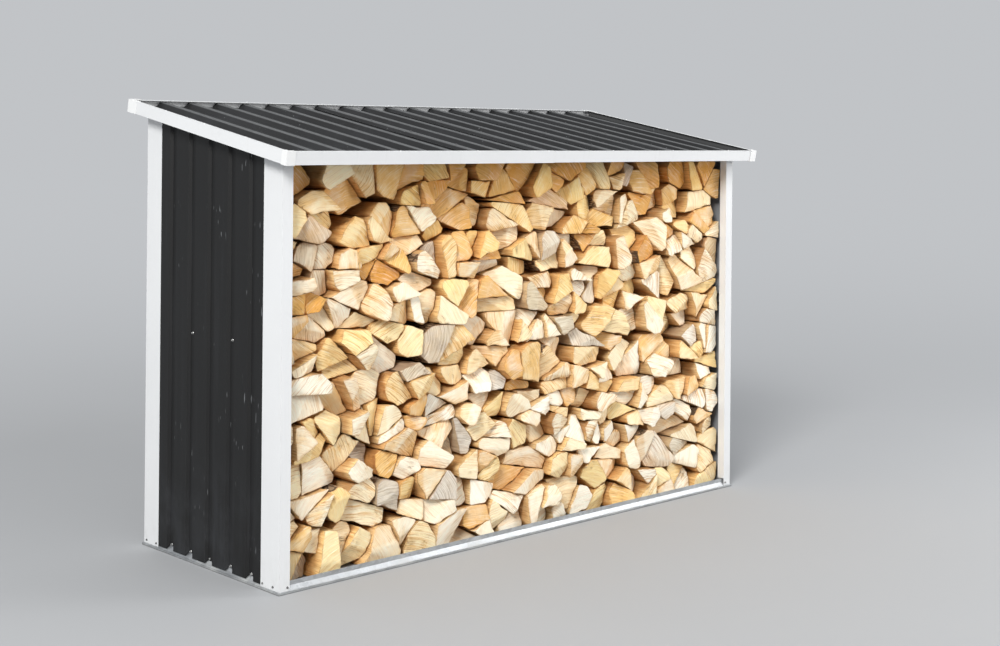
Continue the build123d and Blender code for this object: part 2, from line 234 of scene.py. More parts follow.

# %% [markdown]
# ## Anthracite paint
#
# The walls and roof are coil-coated steel: a dark grey paint with a very fine leathery grain and a
# dull sheen. Out of doors it gathers dust. On the walls the dust is thickest near the ground, where
# rain throws it up, and it is washed into upright streaks. On the roof it lies in the pans. The
# crests of the ribs get a painted highlight, a lighter grey for the sky that they catch, and the
# turned-up sheet edges under the side trims are painted lighter against the shade of the trims.
# A flat grey would look like plastic, so noise on several scales changes the colour, the sheen and
# the relief, and a few short scratches show where the sheets were handled.
#
# The inside of such a sheet has only a grey primer. The side that a face is on can be read from
# its true normal, so no second material is needed. Beside the back posts the joint between sheet
# and post is a deep shadow, which a painted strip helps along.

# %% Anthracite paint
ROOF_GREY, WALL_GREY = (0.0190, 0.0193, 0.0200), (0.0112, 0.0113, 0.0116)
CREST_LOW, CREST_HIGH = 0.0112, 0.0092
SHEET_EDGE = 1.219
SIDE_WALL_FROM = 1.155
BACK_POST_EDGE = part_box("corner_post_back_left")[0].y


def anthracite_paint(name, crest_light=0.0):
    """Paint of the walls or, where crest_light is given, of the roof."""
    paint = Finish(name)
    place = paint.place
    height, across = paint.axis(place, "Z"), abs(paint.axis(place, "X"))
    normal = paint.true_normal()
    cloud = paint.noise(place, 3.1, detail=4.0)
    streak = paint.noise(paint.scaled(place, (38.0, 38.0, 1.6)), 1.0, detail=3.0)
    splash = paint.noise(paint.scaled(place, (9.0, 9.0, 6.0)), 1.0, detail=5.0, rough=0.65)
    grain = paint.noise(place, 1400.0, detail=1.0)
    low = height.over(0.50, 0.02)
    dust = low * splash.over(0.40, 0.74) * 0.22 + streak.over(0.52, 0.80) * (0.08 + low * 0.10)
    shifted = paint.moved(place, (0.3, 0.1, 0.2))
    scratch = paint.noise(paint.scaled(shifted, (150.0, 150.0, 24.0)), 1.0, detail=0.0)
    rare = paint.noise(place, 7.0, detail=1.0)
    mark = scratch.over(0.74, 0.80) * rare.over(0.60, 0.68)
    colour = paint.shaded(ROOF_GREY if crest_light else WALL_GREY, 0.80 + cloud * 0.40)
    if crest_light:
        # Painted highlight: the rib crests are painted a lighter grey for the sky they catch, and
        # the turned-up edges beyond SHEET_EDGE are painted lighter against the shade under the
        # trims.
        under = FRONT_TOP.dot(OFF_ROOF) - paint.along(place, OFF_ROOF)
        edge = across.over(SHEET_EDGE, SHEET_EDGE + 0.001)
        crest_highlight = under.over(CREST_LOW, CREST_HIGH) * (0.55 + streak * 0.6)
        painted_highlight = crest_highlight * (1.0 - edge) + edge * 0.60
        colour = paint.mix(painted_highlight * crest_light, colour, (0.20, 0.205, 0.21))
        dust = dust + cloud.over(0.35, 0.75) * 0.10
    colour = paint.mix(dust, colour, (0.085, 0.090, 0.102))
    colour = paint.mix(mark * 0.6, colour, (0.24, 0.25, 0.26))
    if crest_light:
        outward = paint.along(normal, OFF_ROOF)
    else:
        at_side = across.over(SIDE_WALL_FROM, SIDE_WALL_FROM + 0.004)
        # Painted shadow: a near-black strip along the back posts' edge, for the shade in the gap
        # under their flanges.
        joint_shadow = paint.axis(place, "Y").over(BACK_POST_EDGE - 0.001, BACK_POST_EDGE + 0.001)
        colour = paint.mix(joint_shadow * at_side * 0.9, colour, (0.001, 0.001, 0.001))
        outward_side = paint.axis(place, "X") * paint.axis(normal, "X")
        outward = at_side * outward_side + (1.0 - at_side) * paint.axis(normal, "Y")
    primer = paint.shaded((0.33, 0.34, 0.35), 0.86 + cloud * 0.20)
    colour = paint.mix(outward.over(-0.02, -0.10), colour, primer)
    return paint.surface(
        Base_Color=colour,
        Roughness=0.42 + cloud * 0.10 + dust * 0.55 + grain * 0.06,
        Normal=paint.bump(grain + cloud * 0.5, 0.00008),
        Specular_IOR_Level=0.20 if crest_light else 0.24,
    )


anthracite = anthracite_paint("anthracite_paint")
roof_paint = anthracite_paint("anthracite_roof_paint", crest_light=0.6)
print("Finishes:", anthracite.name, "and", roof_paint.name)

# %% [markdown]
# ## White paint and white mouldings
#
# Posts and roof trims are the same coated steel in white, and the four corner caps are moulded
# plastic with a slightly warmer, duller white. White shows every trace of dirt, so a little grime
# gathers low on the posts and in faint upright runs, with a few specks. Caps get a fine moulded
# grain instead of the paint's soft orange peel.

# %% White paint
def white_paint():
    paint = Finish("white_paint")
    place = paint.place
    height = paint.axis(place, "Z")
    cloud = paint.noise(place, 4.0, detail=4.0)
    run = paint.noise(paint.scaled(place, (60.0, 60.0, 2.2)), 1.0, detail=3.0)
    splash = paint.noise(paint.scaled(place, (26.0, 26.0, 17.0)), 1.0, detail=6.0, rough=0.7)
    speck = paint.noise(place, 240.0, detail=1.0)
    peel = paint.noise(place, 420.0, detail=2.0)
    low = height.over(0.16, 0.0)
    grime = low * splash.over(0.44, 0.78) * 0.24 + run.over(0.55, 0.85) * 0.08
    grime = grime + speck.over(0.74, 0.80) * 0.22
    colour = paint.shaded((0.745, 0.755, 0.765), 0.965 + cloud * 0.06)
    colour = paint.mix(grime, colour, (0.42, 0.40, 0.37))
    rough = 0.30 + cloud * 0.08 + grime * 0.5
    relief = paint.bump(peel + cloud * 0.5, 0.00010)
    return paint.surface(Base_Color=colour, Roughness=rough, Normal=relief)


white = white_paint()
print("Finish:", white.name)


# %% White moulded plastic
def white_moulding():
    plastic = Finish("white_moulding")
    cloud = plastic.noise(plastic.place, 30.0, detail=3.0)
    grain = plastic.noise(plastic.place, 1900.0, detail=1.0)
    scuff = plastic.noise(plastic.scaled(plastic.place, (420.0, 60.0, 120.0)), 1.0, detail=2.0)
    grime = scuff.over(0.66, 0.80) * 0.16
    colour = plastic.shaded((0.815, 0.82, 0.82), 0.97 + cloud * 0.05)
    colour = plastic.mix(grime, colour, (0.48, 0.46, 0.43))
    relief = plastic.bump(grain, 0.00012)
    return plastic.surface(Base_Color=colour, Roughness=0.40 + cloud * 0.12 + grime, Normal=relief)


moulding = white_moulding()
print("Finish:", moulding.name)

# %% [markdown]
# ## Galvanised steel
#
# The base rails and the rails inside are bare galvanised steel. As zinc cools it freezes into flat
# crystals, the spangle, and each crystal turns the light a little differently. A Voronoi texture
# gives cells of that kind: one random value for each cell changes its tone and its roughness. Dull
# white bloom and road dust lie on top, more of it low down. The groove of the base rail and the
# side rails behind the ribs are painted darker, and the rail's foot gets a painted shadow where it
# meets the floor. The heights of those zones follow the rail's section, and a normal that points up
# tells the groove's floor from its walls.

# %% Galvanised steel
GROOVE_FLOOR = 0.0075
RAIL_LIP = 0.0072
RAIL_FOOT = 0.0032
RAIL_LEDGE = 0.0088
SIDE_RAIL_FROM = 1.165


def zinc_finish(name, tone, spangle):
    zinc = Finish(name)
    place = zinc.place
    bend = zinc.noise(place, 60.0, detail=2.0, out=1)
    bent = zinc.mix(0.004, place, bend, "ADD")
    crystal = zinc.axis(zinc.cells(bent, spangle, out="Color"), "X")
    cloud = zinc.noise(place, 8.0, detail=5.0, rough=0.6)
    fine = zinc.noise(place, 520.0, detail=2.0)
    height, across = zinc.axis(place, "Z"), abs(zinc.axis(place, "X"))
    low = height.over(0.05, 0.0)
    upward = zinc.axis(zinc.true_normal(), "Z")
    # The groove's floor and the side rails above the ledge are painted darker.
    groove = upward.over(0.4, 0.6) * height.over(GROOVE_FLOOR + 0.0003, GROOVE_FLOOR)
    # Painted shadow: the rail's lower faces are darkened where it meets the floor.
    foot_shadow = height.over(RAIL_LIP, RAIL_LIP - 0.0006) * 0.30
    foot_shadow = foot_shadow + height.over(RAIL_FOOT, RAIL_FOOT - 0.0016) * 0.70
    behind_wall = across.over(SIDE_RAIL_FROM, SIDE_RAIL_FROM + 0.010)
    behind_wall = behind_wall * height.over(RAIL_LEDGE, RAIL_LEDGE + 0.0012) * 0.45
    dark_zones_and_shadow = groove.larger(foot_shadow).larger(behind_wall)
    bloom = cloud.over(0.50, 0.78) * 0.45 + low * cloud.over(0.35, 0.70) * 0.35
    colour = zinc.shaded(tone, 0.84 + crystal * 0.22)
    colour = zinc.mix(bloom, colour, (0.60, 0.61, 0.60))
    colour = zinc.mix(dark_zones_and_shadow * (0.50 + cloud * 0.4), colour, (0.115, 0.115, 0.11))
    return zinc.surface(
        Base_Color=colour,
        Metallic=0.92 - (bloom + dark_zones_and_shadow * 0.4) * 0.7,
        Roughness=0.34 + crystal * 0.16 + bloom * 0.35,
        Normal=zinc.bump(fine + crystal * 0.6, 0.00006),
    )


zinc = zinc_finish("galvanised_steel", (0.54, 0.56, 0.58), 70.0)
screw_zinc = zinc_finish("screw_zinc", (0.60, 0.60, 0.59), 900.0)
# Painted shade: the post screws' zinc is made dark for heads that sit in shadow.
painted_shade_zinc = zinc_finish("screw_zinc_painted_shade", (0.20, 0.20, 0.20), 900.0)
print("Finishes:", zinc.name, screw_zinc.name, "and", painted_shade_zinc.name)

# %% [markdown]
# ## Giving the CAD pieces their finish
#
# These CAD pieces already have the right shape, so they stay as they are and only their material
# slots change. The record says which slot each node belongs to, and one dictionary turns a slot
# into a finish.

# %% Assign the finishes
slot_finish = {
    "anthracite_steel": anthracite,
    "white_steel": white,
    "white_plastic": moulding,
    "galvanised_steel": zinc,
}
slot_of = {part["node"]: part["material_slot"] for part in frame["record"]["subparts"]}
for name, node in nodes.items():
    finish = roof_paint if name.startswith("roof_sheet") else slot_finish.get(slot_of[name])
    if finish:
        node.data.materials.clear()
        node.data.materials.append(finish)
print({slot: sum(s == slot for s in slot_of.values()) for slot in slot_finish})

# %% [markdown]
# New pieces are added to the part in one way: the mesh gets an object at the origin, which rides
# on the only body there is.

# %% Add a piece
def add_piece(name, mesh):
    piece = bpy.data.objects.new(name, mesh)
    scene.collection.objects.link(piece)
    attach(piece, "root")
    return piece


print("Slots:", sorted(set(slot_of.values())))

# %% [markdown]
# ## Split firewood
#
# A log is a piece of a round, split with an axe and sawn to length. Its end is pale and shows fine
# saw marks, growth rings that bend round the heart, thin cracks and a warmer rim. Its sides are
# torn along the grain, and one side may keep the curve of the round, with or without bark.
#
# The CAD logs are plain prisms that fit together. Their outlines could be detailed by a Displace
# modifier, but that moves all sides alike. Here each outline is read from the CAD mesh, cut into
# short steps, rounded at its corners and worn inwards by noise, so that no log leaves the space
# of its CAD solid and dark gaps open between them. The CAD mesh is loose triangles, so a copy of
# it is merged first, and its flat faces are joined up again.

# %% Read the outlines of the CAD logs
def read_logs(node):
    """Outlines of the front and back ends of each log in a course, in order along X."""
    bm = bmesh.new()
    bm.from_mesh(node.data)
    bmesh.ops.remove_doubles(bm, verts=bm.verts, dist=1e-5)
    bmesh.ops.dissolve_limit(bm, angle_limit=0.02, verts=bm.verts, edges=bm.edges)
    found = []
    for face in bm.faces:
        if face.normal.y < -0.8:
            front, back = [], []
            for corner in face.verts:
                along = [e for e in corner.link_edges if e not in face.edges]
                front.append(corner.co.copy())
                back.append(along[0].other_vert(corner).co.copy())
            found.append((np.array(front), np.array(back)))
    bm.free()
    return sorted(found, key=from_left)


def from_left(log):
    """Sorting key: the middle of a log's front end, across and then up."""
    middle = log[0].mean(0)
    return round(float(middle[0]), 3), float(middle[2])


firewood = [name for name in nodes if name.startswith("firewood")]
courses = {name: read_logs(nodes[name]) for name in firewood}
print({name: len(logs) for name, logs in sorted(courses.items())})

# %% Step round an outline, soften its corners
STEP = 0.0065
BARK_TURNS = (0.02, 0.42)


def stepped(corners, values):
    """Points every few millimetres round a closed outline, with values carried along."""
    points, carried = [], []
    for i, start in enumerate(corners):
        end = corners[(i + 1) % len(corners)]
        count = max(1, round(math.dist(start, end) / STEP))
        for k in range(count):
            share = k / count
            points.append(start + (end - start) * share)
            carried.append(values[i])
    return np.array(points), np.array(carried, float)


def softened(points, rounds):
    for _ in range(rounds):
        points = points * 0.5 + (np.roll(points, 1, 0) + np.roll(points, -1, 0)) * 0.25
    return points


def inward(points):
    """Unit vectors that point into a closed outline, which runs anticlockwise."""
    along = np.roll(points, -1, 0) - np.roll(points, 1, 0)
    across = np.stack([-along[:, 1], along[:, 0]], 1)
    return across / np.maximum(np.linalg.norm(across, axis=1, keepdims=True), 1e-9)


def curved_sides(corners):
    """1 for each side that belongs to the curve of the round, else 0."""
    count = len(corners)
    gentle = []
    for i in range(count):
        before, after = corners[i] - corners[i - 1], corners[(i + 1) % count] - corners[i]
        turn = math.atan2(before[0] * after[1] - before[1] * after[0], before @ after)
        gentle.append(BARK_TURNS[0] < turn < BARK_TURNS[1])
    return [float(gentle[i] or gentle[(i + 1) % count]) for i in range(count)]


print("A square of 100 mm takes", len(stepped(np.eye(4)[:, :2] * 0.1, [0] * 4)[0]), "steps")

# %% [markdown]
# ### A sawn end is seldom one plane
#
# A log that was sawn from two sides, or that broke off before the saw was through, has a ridge
# across its end and a face that slopes back from it. Each log gets up to two such cuts: a
# direction, a place where the slope starts and a grade. A bevelled box could not give this, because
# the ridge runs at any angle, so the cuts are added to the depth of each vertex of the end.

# %% Cuts across an end
DEEPEST_CUT = 0.028


def end_cuts(reach, draw):
    """Slopes that run back from the sawn plane: direction, start and grade."""
    cuts = []
    for chance in (0.80, 0.45):
        if draw.random() < chance:
            angle = draw.uniform(0, math.tau)
            start, grade = draw.uniform(-0.2, 0.45) * reach, draw.uniform(0.12, 0.60)
            cuts.append((math.cos(angle), math.sin(angle), start, grade))
    return cuts


def set_back(places, cuts):
    """How far places on an end, measured from its middle, lie behind the sawn plane."""
    total = np.zeros(len(places))
    for x, z, start, grade in cuts:
        total += grade * np.maximum(0, places[:, 0] * x + places[:, 1] * z - start)
    return DEEPEST_CUT * np.tanh(total / DEEPEST_CUT)


print("Set back at 50 mm:", set_back(np.array([[0.05, 0.0]]), [(1.0, 0.0, 0.01, 0.5)]).round(4))

# %% [markdown]
# ### From an outline to a log
#
# The log is lofted from rings. Some lie on the sawn end and shrink towards its middle, three round
# the torn edge over, and the rest run back along the grain, spaced wider where nobody can see.
# The sides are worn twice: fine tears go straight inwards, and hollows go towards the log's middle,
# which keeps thin logs from turning inside out. Each vertex also keeps what the finish needs: how
# far it is from the rim (below zero behind it), how far it was cut back and whether it is under
# bark. Logs beside the right post keep flat ends, so that none is cut away from the post.

# %% Loft one log
END_SHARES = (0.22, 0.42, 0.60, 0.76, 0.90)
EDGE_RINGS = ((0.0026, 0.0, 0.4), (0.0007, 0.0002, 0.8), (0.0, 0.0009, 1.0))
SIDE_DEPTHS = (0.004, 0.011, 0.022, 0.040, 0.070, 0.120)
CHIP_DEPTH, TEAR_DEPTH, HOLLOW_DEPTH = 0.013, 0.0022, 0.012
FLAT_ENDS_FROM = 1.10


def relief(points, y, seed, fine, long=1.0):
    """Noise at each point of a ring, fine across the grain and long along it."""
    places = [(x * fine + seed, z * fine - seed, y * long) for x, z in points]
    return np.array([noise.noise(Vector(place)) for place in places])


def worn_rim(flat, barked, seed, draw):
    """The outline with chipped sides and barely softened corners, and the bark on its steps."""
    rim, bark = stepped(flat, barked)
    rim = softened(rim, draw.choice((0, 1, 1, 2)))
    bite = np.clip(relief(rim, 0, seed, 19.0) + 0.04, 0, 1)
    wear = 0.0003 + 0.0085 * bite**1.4 + 0.0016 * np.abs(relief(rim, 0, seed + 9, 80.0))
    return rim + inward(rim) * wear[:, None], bark


def loft_log(front, back, draw):
    """Rings of a log from its front end to its back end, with the data that its finish needs."""
    flat = front[:, [0, 2]]
    centre = flat.mean(0)
    level = np.c_[flat - centre, np.ones(len(flat))]
    plane = np.linalg.lstsq(level, front[:, 1], rcond=None)[0]
    seed = draw.uniform(0, 60)
    rim, bark = worn_rim(flat, curved_sides(flat), seed, draw)
    middle = rim.mean(0)
    outward = rim - middle
    reach = np.linalg.norm(outward, axis=1)
    cuts = end_cuts(float(reach.max()), draw) if rim[:, 0].max() < FLAT_ENDS_FROM else []
    chip = np.clip(relief(rim, 1.0, seed + 4, 40.0) - 0.10, 0, 1) * CHIP_DEPTH

    rings, from_rim, cut_back = [], [], []
    steps = [(1 - share, 0.0, 0.0) for share in END_SHARES]
    steps += [(gap / reach, drop, chipped) for gap, drop, chipped in EDGE_RINGS]
    for shrink, drop, chipped in steps:
        shrink = np.minimum(shrink, 1.0) * np.ones(len(rim))
        shrink = np.minimum(shrink, 0.3) if chipped else shrink
        ring = middle + outward * (1 - shrink[:, None])
        swell = 0.0020 * relief(ring, 2.0, seed + 2, 22.0)
        swell = swell + 0.0011 * relief(ring, 3.0, seed + 5, 95.0)
        cut = set_back(ring - middle, cuts)
        y = plane[2] + (ring - centre) @ plane[:2] + swell + cut + drop + chip * chipped
        rings.append(np.c_[ring[:, 0], y, ring[:, 1]])
        from_rim.append(reach * shrink)
        cut_back.append(cut)
    edge = rings[-1][:, 1]
    inside = inward(rim)
    for depth in SIDE_DEPTHS:
        tear = np.clip(0.3 + relief(rim, depth, seed + 7, 60.0, 9.0), 0, 1) * TEAR_DEPTH
        hollow = np.clip(relief(rim, depth, seed + 8, 17.0, 11.0) + 0.08, 0, 1)
        hollow = hollow * HOLLOW_DEPTH * min(1.0, depth / 0.02)
        sunk = np.minimum(hollow / reach, 0.25)
        ring = rim + inside * tear[:, None] - outward * sunk[:, None]
        rings.append(np.c_[ring[:, 0], edge + depth, ring[:, 1]])
    far_end = np.full(len(rim), back[:, 1].min() - 0.004)
    rings.append(np.c_[rim[:, 0], far_end, rim[:, 1]])
    for depth in (*SIDE_DEPTHS, 2 * SIDE_DEPTHS[-1]):
        from_rim.append(np.full(len(rim), -depth))
        cut_back.append(cut_back[-1])
    return np.array(rings), len(steps), np.array(from_rim), np.array(cut_back), bark, middle, seed


print("Rings on each log:", len(END_SHARES) + len(EDGE_RINGS) + len(SIDE_DEPTHS) + 1)

# %% [markdown]
# ### Where a log's marks come from
#
# Two maps are laid on each end. One starts at the heart of the tree and carries the rings. The
# other follows the saw: its bar swings about a point well outside the log, so its marks are gentle
# arcs. On the sides both maps run along the grain. Four numbers set one log apart from the next:
# its tone, how golden it is, how far it has weathered to grey and how coarse its fibres are. Tone
# and gold also rise towards the top of the stack, a painted shade for the top rows under the roof.

# %% Maps and facts of a log
def heart_of(flat):
    """The corner that was nearest the middle of the tree: the one furthest from the curved side."""
    curved = curved_sides(flat)
    middles = [(flat[i] + flat[(i + 1) % len(flat)]) / 2 for i, b in enumerate(curved) if b]
    start = np.mean(middles, axis=0) if middles else flat[int(np.argmax(flat[:, 1]))]
    return max(flat, key=lambda p: math.dist(p, start))


def end_maps(places, heart, middle, seed, draw):
    """Places on an end measured from the heart, and along and across the arcs of the saw."""
    turn, swing = draw.gauss(1.35, 0.8), draw.uniform(0.16, 0.5)
    bar = np.array([math.cos(turn), math.sin(turn)])
    reach = places - middle + bar * swing
    radius = np.linalg.norm(reach, axis=1)
    angle = np.arctan2(reach[:, 1] * bar[0] - reach[:, 0] * bar[1], reach @ bar)
    return places - heart, np.stack([radius - swing + seed, angle * swing + seed], 1)


def log_facts(flat, draw):
    height = float(flat[:, 1].mean()) / 1.4
    # Painted shade: gold and, below, tone grow with the log's height, for the shade under the roof.
    gold = draw.gauss(0.02 + 0.24 * height + 0.80 * height**6, 0.32)
    grey = draw.uniform(0.45, 1.0) if draw.random() < 0.085 else 0.0
    tone = min(1.0, draw.random() ** 1.7 + 0.45 * height**4)
    return tone, min(1.0, max(0.0, gold)), grey, draw.random()


print("One log's facts:", [round(fact, 2) for fact in log_facts(np.ones((3, 2)), random.Random(1))])

# %% [markdown]
# ### A course of logs as one mesh
#
# All logs of a CAD node go into one mesh, so the new piece can stand for that node. The mesh is
# written from arrays, which is far quicker than adding faces one by one. Three materials are used:
# the sawn end, the torn side and the bark.

# %% Build a course
END, SIDE, BARK = 0, 1, 2
BARK_SHARE = 0.48


def band(ring, count):
    """Quads between a ring and the next one. Vertex 0 is the middle of the near end."""
    i = np.arange(count)
    j = (i + 1) % count
    low, high = 1 + ring * count, 1 + (ring + 1) * count
    return np.stack([low + i, high + i, high + j, low + j], 1)


def dressed_log(front, back, draw):
    """Vertices, faces, slots and data of one log."""
    rings, ends, from_rim, cut_back, bark, middle, seed = loft_log(front, back, draw)
    flat = front[:, [0, 2]]
    total, count = rings.shape[:2]
    near = [middle[0], rings[0][:, 1].mean(), middle[1]]
    far = [middle[0], rings[-1][0, 1] + 0.003, middle[1]]
    points = np.vstack([near, rings.reshape(-1, 3), far])
    heart, saw = end_maps(points[:, [0, 2]], heart_of(flat), middle, seed, draw)
    i = np.arange(count)
    j = (i + 1) % count
    last = 1 + (total - 1) * count
    near_fan = np.stack([0 * i, 1 + i, 1 + j], 1)
    far_fan = np.stack([last + i, 0 * i + len(points) - 1, last + j], 1)
    steps = np.linalg.norm(np.roll(rings[-1], -1, 0) - rings[-1], axis=1)
    around = np.concatenate([[0], np.cumsum(steps)]) + seed
    faces, slots, smooth, heart_uv, saw_uv = [], [], [], [], []

    def add(corners, slot, long=None, rounded=True):
        faces.extend(corners.tolist())
        slots.extend(slot)
        smooth.extend([rounded] * count)
        heart_uv.append((heart[corners] if long is None else long).reshape(-1, 2))
        saw_uv.append((saw[corners] if long is None else long).reshape(-1, 2))

    add(near_fan, [END] * count)
    side_slots = np.full(count, SIDE)
    if draw.random() < BARK_SHARE:
        side_slots = np.where(bark > 0, BARK, SIDE)
    for ring in range(total - 1):
        corners = band(ring, count)
        if ring < ends - 1:
            add(corners, [END] * count, rounded=ring < ends - 3)
        else:
            across = np.stack([around[:-1], around[:-1], around[1:], around[1:]], 1)
            add(corners, side_slots.tolist(), np.stack([across, points[corners][:, :, 1]], 2))
    add(far_fan, [END] * count)
    per_vertex = {
        "rim": np.concatenate([[from_rim[0].max()], from_rim.ravel(), [0]]),
        "cut_back": np.concatenate([[cut_back[0].mean()], cut_back.ravel(), [0]]),
        "under_bark": np.concatenate([[0], np.tile(bark, total), [0]]),
    }
    facts = np.tile(log_facts(flat, draw), (len(points), 1))
    return points, faces, slots, heart_uv, saw_uv, per_vertex, facts, smooth


def build_course(name, logs, draw):
    dressed = [dressed_log(front, back, draw) for front, back in logs]
    faces, start = [], 0
    for log in dressed:
        faces += [[corner + start for corner in face] for face in log[1]]
        start += len(log[0])
    mesh = bpy.data.meshes.new(name)
    mesh.from_pydata(np.vstack([log[0] for log in dressed]).tolist(), [], faces)
    for finish in (log_end, log_side, log_bark):
        mesh.materials.append(finish)
    mesh.polygons.foreach_set("material_index", [slot for log in dressed for slot in log[2]])
    mesh.polygons.foreach_set("use_smooth", [smooth for log in dressed for smooth in log[7]])
    for label, column in (("heart", 3), ("saw", 4)):
        uv = np.vstack([part for log in dressed for part in log[column]])
        mesh.uv_layers.new(name=label).data.foreach_set("uv", uv.astype(np.float32).ravel())
    for label in ("rim", "cut_back", "under_bark"):
        values = np.concatenate([log[5][label] for log in dressed]).astype(np.float32)
        mesh.attributes.new(label, "FLOAT", "POINT").data.foreach_set("value", values)
    facts = mesh.attributes.new("log_facts", "FLOAT_COLOR", "POINT")
    values = np.vstack([log[6] for log in dressed]).astype(np.float32)
    facts.data.foreach_set("color", values.ravel())
    mesh.update()
    return add_piece(name, mesh)


print("Course builder is ready")

# %% [markdown]
# ## The finishes of the firewood
#
# The sawn end is built up in layers. A cream ground drifts to honey and gold from log to log, and
# more so towards the top of the stack, where that drift is painted shade under the roof. Stains
# from the sap lie over it. The saw and the torn fibres leave lines a few millimetres apart,
# dark in the grooves and pale on the crests, and they change the relief as well as the colour. A
# face that broke away is coarser and more orange. Rings round the heart are faint, cracks are thin
# and rare, and the outline has a dark edge: a painted shadow of the splinters and gaps at the rim,
# with the thin bark ring where a side keeps its bark. A few ends have weathered to grey.

# %% The sawn end
def sawn_end():
    wood = Finish("log_sawn_end")
    tone, gold, grey, coarse = wood.facts()
    rim = wood.attribute("rim")
    bark = wood.attribute("under_bark")
    broken = wood.attribute("cut_back").over(0.0003, 0.0035)
    heart = wood.node("ShaderNodeUVMap", {"uv_map": "heart"})
    saw = wood.node("ShaderNodeUVMap", {"uv_map": "saw"})
    cloud = wood.noise(saw, 24.0, detail=4.0, rough=0.6)
    stain = wood.noise(wood.moved(saw, (3.0, 7.0, 0.0)), 12.0, detail=4.0, rough=0.6)
    rings = (wood.length(heart) * 1350.0 + wood.noise(heart, 30.0, detail=2.0) * 9.0).wave()
    bent = wood.mix(0.010, saw, wood.noise(saw, 17.0, detail=2.0, out=1), "ADD")
    lines = wood.noise(wood.scaled(bent, (230.0, 9.0, 1.0)), 1.0, detail=5.0, rough=0.68)
    broad = wood.noise(wood.scaled(bent, (52.0, 6.0, 1.0)), 1.0, detail=3.0, rough=0.6)
    fine = wood.noise(wood.scaled(bent, (620.0, 60.0, 1.0)), 1.0, detail=2.0, rough=0.7)
    split = wood.noise(wood.scaled(bent, (70.0, 5.0, 1.0)), 1.0, detail=3.0, rough=0.6)
    crack = abs(split - 0.5).over(0.007, 0.0) * stain.over(0.56, 0.66)
    force = 0.20 + coarse.over(0.40, 1.0) * 0.50 + broken * 0.20
    near_rim = (rim + cloud * 0.014).over(0.022, 0.004)
    # Painted shadow: a dark edge round each end for the shade of splinters and gaps at the rim,
    # with the thin bark ring on barked sides.
    edge = rim.over(0.0034, 0.0004) * (bark * 0.3 + cloud.over(0.35, 0.60) * 0.60)

    colour = wood.mix(tone * 0.9 + cloud * 0.2, (1.0, 0.98, 0.88), (1.0, 0.79, 0.39))
    weathered = wood.mix(lines.over(0.36, 0.66), (0.68, 0.63, 0.57), (0.36, 0.30, 0.25))
    golden = gold * (0.30 + stain.over(0.32, 0.62) * 0.7)
    layers = [
        (stain.over(0.52, 0.72) * (0.15 + coarse * 0.40), (0.88, 0.52, 0.15)),
        (golden, (0.90, 0.50, 0.10)),
        (gold.over(0.55, 1.0) * (0.35 + cloud * 0.5), (0.68, 0.26, 0.045)),
        (near_rim * (0.10 + gold * 0.6), (0.82, 0.41, 0.09)),
        (broken * (0.16 + gold * 0.5), (0.86, 0.50, 0.15)),
        (broad.over(0.50, 0.68) * 0.75 * force, (0.78, 0.42, 0.11)),
        (lines.over(0.50, 0.64) * force, (0.50, 0.22, 0.055)),
        (lines.over(0.46, 0.34) * 0.4, (1.0, 0.97, 0.88)),
        (grey * (0.55 + cloud * 0.4), weathered),
    ]
    colour = wood.layered(colour, layers)
    colour = wood.shaded(colour, 0.98 + rings * 0.04 + fine * 0.06)
    colour = wood.layered(colour, [(crack * 0.6, (0.28, 0.12, 0.035)), (edge, (0.22, 0.095, 0.03))])
    height = broad * 1.1 + lines * (0.5 + force) + fine * 0.4 - crack * 1.2
    return wood.surface(
        Base_Color=colour,
        Roughness=0.62 + fine * 0.2,
        Normal=wood.bump(height, 0.0030),
        Specular_IOR_Level=0.30,
    )


log_end = sawn_end()
print("Finish:", log_end.name)

# %% [markdown]
# The torn side follows the grain: long fibres, pale where they were ripped and orange-brown where
# air has darkened them. Between the logs the sides are painted browner with each centimetre behind
# the rim, a painted shade for the dark between the logs, and the distance behind the rim says how
# far in a point is. Bark is darker and furrowed along the log.

# %% The torn side and the bark
def torn_side():
    wood = Finish("log_torn_side")
    tone, gold, grey, coarse = wood.facts()
    grain = wood.node("ShaderNodeUVMap", {"uv_map": "saw"})
    fibres = wood.noise(wood.scaled(grain, (210.0, 11.0, 1.0)), 1.0, detail=5.0, rough=0.68)
    bands = wood.noise(wood.scaled(grain, (52.0, 5.0, 1.0)), 1.0, detail=3.0)
    cloud = wood.noise(grain, 16.0, detail=4.0)
    # Painted shade: the side turns browner the further it lies behind the rim.
    behind = wood.attribute("rim").over(-0.002, -0.045)
    aged = coarse.over(0.60, 1.0) * cloud.over(0.35, 0.60)
    colour = wood.mix(bands * 0.5 + tone * 0.5, (0.99, 0.82, 0.50), (0.92, 0.58, 0.19))
    layers = [
        ((0.10 + gold) * (0.2 + cloud), (0.70, 0.28, 0.05)),
        (behind * (0.30 + bands * 0.70), (0.44, 0.19, 0.045)),
        (aged * 0.8, (0.40, 0.18, 0.06)),
        (fibres.over(0.46, 0.64) * 0.60, (0.42, 0.18, 0.05)),
        (fibres.over(0.42, 0.30) * 0.4, (1.0, 0.88, 0.64)),
        (grey * 0.7, (0.36, 0.30, 0.24)),
    ]
    colour = wood.layered(colour, layers)
    colour = wood.shaded(colour, 0.94 + tone * 0.14)
    return wood.surface(
        Base_Color=colour,
        Roughness=0.72 + fibres * 0.12,
        Normal=wood.bump(fibres + bands * 1.6, 0.0030),
        Specular_IOR_Level=0.28,
    )


